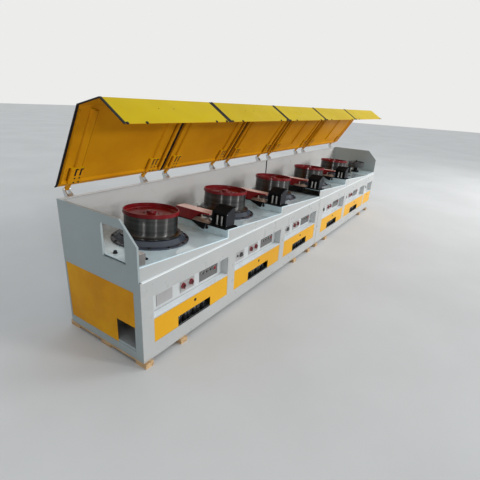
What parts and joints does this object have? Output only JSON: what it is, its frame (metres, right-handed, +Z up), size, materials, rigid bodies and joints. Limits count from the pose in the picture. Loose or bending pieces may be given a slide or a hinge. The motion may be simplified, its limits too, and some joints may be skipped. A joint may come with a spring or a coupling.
{
  "type": "wire drawing machine",
  "caption": "Straight-line wire drawing machine: tilted drawing capstans in a row on stepped decks in a long low cabinet on skids, with tip-up safety hoods, wire guides and die covers.",
  "frame": {"origin": "on the floor, under the middle of the machine's length and depth", "axes": "+Z up, front (control side) faces -Y, +X runs along the machine from the outlet end to the inlet end"},
  "size_m": [7.35, 1.22, 2.2963],
  "materials": {
    "timber": "sawn pine",
    "body_paint": "light grey semi-gloss paint",
    "yellow_panels": "golden yellow semi-gloss paint",
    "bend_rubber": "moulded black rubber bends",
    "control_face": "dark grey satin face plates",
    "control_caps": "moulded knobs and push buttons",
    "base_ring_paint": "dark blue-grey semi-gloss paint",
    "drum_steel": "ground steel drawing face",
    "red_paint": "deep red gloss paint",
    "dark_paint": "black and dark grey paint",
    "pin_steel": "ground steel pins",
    "holder_paint": "beige paint",
    "hood_paint": "amber yellow gloss paint",
    "edging_rubber": "black rubber edging",
    "hinge_steel": "plated steel",
    "wheel_steel": "dark turned iron"
  },
  "bodies": {
    "machine": {"timber_skids": "timber", "base_frame_1": "body_paint", "base_frame_2": "body_paint", "front_plate_1": "body_paint", "front_plate_2": "body_paint", "recess_boxes_1": "body_paint", "recess_boxes_2": "body_paint", "upper_front_1": "body_paint", "upper_front_2": "body_paint", "back_wall_1": "body_paint", "back_wall_2": "body_paint", "left_end_wall": "body_paint", "right_end_wall": "body_paint", "joint_walls": "body_paint", "deck_1": "body_paint", "deck_2": "body_paint", "front_panels_1": "yellow_panels", "front_panels_2": "yellow_panels", "end_panels": "yellow_panels", "drain_bends": "bend_rubber", "control_plates": "control_face", "control_knobs": "control_caps", "base_rings": "base_ring_paint", "die_bases": "dark_paint", "guide_towers": "dark_paint", "guide_pins": "pin_steel", "die_covers": "red_paint", "die_holders": "holder_paint", "hinge_brackets": "hinge_steel", "inlet_stand": "dark_paint", "inlet_guide": "dark_paint", "outlet_guide": "body_paint"},
    "capstan_a": {"drum_a": "drum_steel", "rim_a": "red_paint"},
    "capstan_b": {"drum_b": "drum_steel", "rim_b": "red_paint"},
    "capstan_c": {"drum_c": "drum_steel", "rim_c": "red_paint"},
    "capstan_d": {"drum_d": "drum_steel", "rim_d": "red_paint"},
    "capstan_e": {"drum_e": "drum_steel", "rim_e": "red_paint"},
    "hood_a": {"hood_a": "hood_paint", "edging_a": "edging_rubber"},
    "hood_b": {"hood_b": "hood_paint", "edging_b": "edging_rubber"},
    "hood_c": {"hood_c": "hood_paint", "edging_c": "edging_rubber"},
    "hood_d": {"hood_d": "hood_paint", "edging_d": "edging_rubber"},
    "hood_e": {"hood_e": "hood_paint", "edging_e": "edging_rubber"},
    "inlet_wheel": {"inlet_wheel": "wheel_steel"}
  },
  "joints": [
    {"name": "hood_a_hinge", "type": "hinge", "parent": "machine", "child": "hood_a", "pos_m": [-3.03975, 0.594, 1.439], "axis": [1, 0, 0], "range_deg": [0, 57.6]},
    {"name": "hood_b_hinge", "type": "hinge", "parent": "machine", "child": "hood_b", "pos_m": [-1.735, 0.594, 1.439], "axis": [1, 0, 0], "range_deg": [0, 57.6]},
    {"name": "hood_c_hinge", "type": "hinge", "parent": "machine", "child": "hood_c", "pos_m": [-0.4395, 0.594, 1.439], "axis": [1, 0, 0], "range_deg": [0, 57.6]},
    {"name": "hood_d_hinge", "type": "hinge", "parent": "machine", "child": "hood_d", "pos_m": [0.9595, 0.594, 1.439], "axis": [1, 0, 0], "range_deg": [0, 57.6]},
    {"name": "hood_e_hinge", "type": "hinge", "parent": "machine", "child": "hood_e", "pos_m": [2.705, 0.594, 1.439], "axis": [1, 0, 0], "range_deg": [0, 57.6]},
    {"name": "capstan_a_spin", "type": "hinge", "parent": "machine", "child": "capstan_a", "pos_m": [-3.055, -0.045, 0.96503], "axis": [0.0739, 0, 0.9973], "continuous": true},
    {"name": "capstan_b_spin", "type": "hinge", "parent": "machine", "child": "capstan_b", "pos_m": [-1.795, -0.045, 0.96503], "axis": [0.0739, 0, 0.9973], "continuous": true},
    {"name": "capstan_c_spin", "type": "hinge", "parent": "machine", "child": "capstan_c", "pos_m": [-0.535, -0.045, 0.96503], "axis": [0.0739, 0, 0.9973], "continuous": true},
    {"name": "capstan_d_spin", "type": "hinge", "parent": "machine", "child": "capstan_d", "pos_m": [0.838, -0.045, 0.96503], "axis": [0.0739, 0, 0.9973], "continuous": true},
    {"name": "capstan_e_spin", "type": "hinge", "parent": "machine", "child": "capstan_e", "pos_m": [2.158, -0.045, 0.96503], "axis": [0.0739, 0, 0.9973], "continuous": true},
    {"name": "inlet_wheel_spin", "type": "hinge", "parent": "machine", "child": "inlet_wheel", "pos_m": [3.315, -0.205, 1.02521], "axis": [0, 0, 1], "continuous": true}
  ]
}
